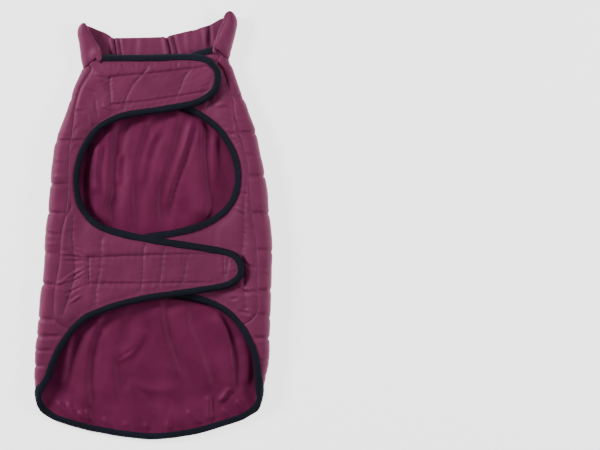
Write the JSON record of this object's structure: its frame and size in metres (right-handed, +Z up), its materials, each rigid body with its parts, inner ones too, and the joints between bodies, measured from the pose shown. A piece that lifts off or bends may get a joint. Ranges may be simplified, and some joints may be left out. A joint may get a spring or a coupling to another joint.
{
  "type": "dog winter coat",
  "caption": "Padded winter coat for a large dog, laid flat on its back, with a standing collar, chest and belly straps that fasten over tabs, and a bound edge.",
  "frame": {"origin": "centre of the bounding box at the underside, where the coat's back rests on the surface", "axes": "+Y from the hem to the collar, +Z up from the back to the belly side, +X towards the fold on the side where the straps end"},
  "size_m": [0.297, 0.5348, 0.0281],
  "materials": {
    "shell": "plum nylon, quilted, soft satin sheen",
    "lining": "smooth wine nylon, soft satin sheen",
    "collar": "plum nylon, lightly padded, soft satin sheen",
    "binding": "matt navy woven tape",
    "hook_tape": "matt black hook tape",
    "loop_tape": "matt black loop tape"
  },
  "bodies": {
    "root": {"quilted_back": "shell", "quilted_left_front": "shell", "quilted_right_front": "shell", "smooth_lining": "lining", "collar": "collar", "edge_binding": "binding", "hook_tape_chest": "hook_tape", "hook_tape_belly": "hook_tape", "loop_tape_chest": "loop_tape", "loop_tape_belly": "loop_tape"}
  },
  "joints": []
}
